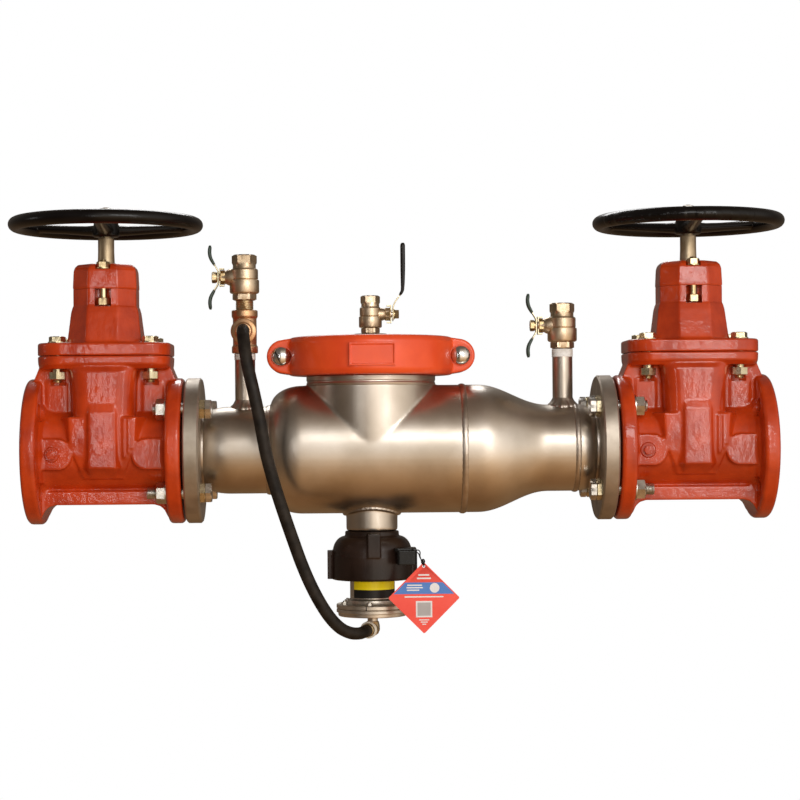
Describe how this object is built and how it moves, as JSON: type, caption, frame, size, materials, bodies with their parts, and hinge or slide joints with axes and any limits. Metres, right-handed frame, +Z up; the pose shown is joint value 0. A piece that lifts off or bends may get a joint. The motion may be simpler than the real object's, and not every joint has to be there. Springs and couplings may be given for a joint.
{
  "type": "backflow preventer",
  "caption": "Flanged reduced-pressure backflow preventer: steel housing with a clamped top access cap, relief valve, test cocks and sensing hose, between two gate valves with handwheels.",
  "frame": {"origin": "middle of the inlet flange's raised face, on the pipe's axis", "axes": "+X along the pipe, the way the water flows; +Z up, along the gate valves' stems; -Y is the front, where the hose hangs"},
  "size_m": [1.022, 0.254, 0.5681],
  "materials": {
    "red_enamel": "glossy orange-red enamel over rough cast iron",
    "orange_enamel": "semi-gloss orange enamel over cast iron",
    "black_enamel": "glossy black enamel",
    "steel": "bead-blasted satin stainless steel",
    "brass": "turned brass",
    "bronze": "cast bronze, tumbled",
    "copper_bronze": "coppery cast bronze",
    "chrome": "bright plating",
    "zinc": "zinc plating with a yellow tint",
    "black_rubber": "matt black rubber",
    "green_vinyl": "dark green vinyl dip",
    "black_vinyl": "black vinyl dip",
    "bell_casting": "dark brown-black epoxy coating",
    "sensor_plastic": "black moulded plastic",
    "tag_plastic": "printed red plastic card"
  },
  "bodies": {
    "root": {"cap": "steel", "clamp_bolt_left": "chrome", "clamp_bolt_right": "chrome", "clamp_front": "orange_enamel", "clamp_rear": "orange_enamel", "clamp_seal": "black_rubber", "drain_elbow": "brass", "first_check_seat": "bronze", "flow_sensor": "sensor_plastic", "hose": "black_rubber", "housing": "steel", "inlet_bonnet": "red_enamel", "inlet_bonnet_bolt_1": "zinc", "inlet_bonnet_bolt_2": "zinc", "inlet_bonnet_bolt_3": "zinc", "inlet_bonnet_bolt_4": "zinc", "inlet_cock_body": "bronze", "inlet_flange_bolt_1": "zinc", "inlet_flange_bolt_2": "zinc", "inlet_flange_bolt_3": "zinc", "inlet_flange_bolt_4": "zinc", "inlet_gland": "red_enamel", "inlet_valve_body": "red_enamel", "nipple": "brass", "outlet_bonnet": "red_enamel", "outlet_bonnet_bolt_1": "zinc", "outlet_bonnet_bolt_2": "zinc", "outlet_bonnet_bolt_3": "zinc", "outlet_bonnet_bolt_4": "zinc", "outlet_cock_body": "bronze", "outlet_flange_bolt_1": "zinc", "outlet_flange_bolt_2": "zinc", "outlet_flange_bolt_3": "zinc", "outlet_flange_bolt_4": "zinc", "outlet_gland": "red_enamel", "outlet_valve_body": "red_enamel", "relief_bell": "bell_casting", "relief_body": "steel", "relief_cover": "steel", "second_check_seat": "bronze", "tee": "copper_bronze", "top_cock_body": "bronze"},
    "inlet_wheel": {"inlet_handwheel": "black_enamel", "inlet_stem": "brass", "inlet_wheel_nut": "zinc"},
    "outlet_wheel": {"outlet_handwheel": "black_enamel", "outlet_stem": "brass", "outlet_wheel_nut": "zinc"},
    "inlet_wedge_body": {"inlet_wedge": "black_rubber"},
    "outlet_wedge_body": {"outlet_wedge": "black_rubber"},
    "first_check_clapper": {"first_check_disc": "black_rubber"},
    "second_check_clapper": {"second_check_disc": "black_rubber"},
    "relief_plunger": {"relief_piston": "bronze"},
    "inlet_cock_turn": {"inlet_cock_handle": "green_vinyl", "inlet_cock_ball": "chrome"},
    "outlet_cock_turn": {"outlet_cock_handle": "green_vinyl", "outlet_cock_ball": "chrome"},
    "top_cock_turn": {"top_cock_handle": "black_vinyl", "top_cock_ball": "chrome"},
    "tag_card": {"tag": "tag_plastic"}
  },
  "joints": [
    {"name": "inlet_handwheel_turn", "type": "hinge", "parent": "root", "child": "inlet_wheel", "pos_m": [0.1016, 0, 0.298], "axis": [0, 0, 1], "range_deg": [-4875.6, 0]},
    {"name": "inlet_wedge_slide", "type": "slide", "parent": "root", "child": "inlet_wedge_body", "axis": [0, 0, 1], "range_m": [-0.08601, 0]},
    {"name": "outlet_handwheel_turn", "type": "hinge", "parent": "root", "child": "outlet_wheel", "pos_m": [0.8696, 0, 0.298], "axis": [0, 0, 1], "range_deg": [-4875.6, 0]},
    {"name": "outlet_wedge_slide", "type": "slide", "parent": "root", "child": "outlet_wedge_body", "axis": [0, 0, 1], "range_m": [-0.08601, 0]},
    {"name": "first_check_swing", "type": "hinge", "parent": "root", "child": "first_check_clapper", "pos_m": [0.316, 0, 0.043], "axis": [0, -1, 0], "range_deg": [0, 60], "stiffness_Nm_per_rad": 1, "springref_deg": -17.19},
    {"name": "second_check_swing", "type": "hinge", "parent": "root", "child": "second_check_clapper", "pos_m": [0.592, 0, 0.05], "axis": [0, -1, 0], "range_deg": [0, 60], "stiffness_Nm_per_rad": 1, "springref_deg": -17.19},
    {"name": "relief_slide", "type": "slide", "parent": "root", "child": "relief_plunger", "axis": [0, 0, -1], "range_m": [0, 0.01], "stiffness_N_per_m": 2000, "springref_m": -0.004},
    {"name": "inlet_cock_quarter_turn", "type": "hinge", "parent": "root", "child": "inlet_cock_turn", "pos_m": [0.2826, 0, 0.2275], "axis": [-1, 0, 0], "range_deg": [-90, 0]},
    {"name": "outlet_cock_quarter_turn", "type": "hinge", "parent": "root", "child": "outlet_cock_turn", "pos_m": [0.7014, 0, 0.1615], "axis": [-1, 0, 0], "range_deg": [-90, 0]},
    {"name": "top_cock_quarter_turn", "type": "hinge", "parent": "root", "child": "top_cock_turn", "pos_m": [0.448, 0, 0.1778], "axis": [1, 0, 0], "range_deg": [-90, 0]},
    {"name": "tag_swing", "type": "hinge", "parent": "root", "child": "tag_card", "pos_m": [0.5133, -0.0648, -0.1506], "axis": [0, 1, 0], "range_deg": [-20, 50]}
  ],
  "couplings": [
    {"joint": "inlet_wedge_slide", "follows": "inlet_handwheel_turn", "m_per_rad": 0.0010106},
    {"joint": "outlet_wedge_slide", "follows": "outlet_handwheel_turn", "m_per_rad": 0.0010106}
  ]
}
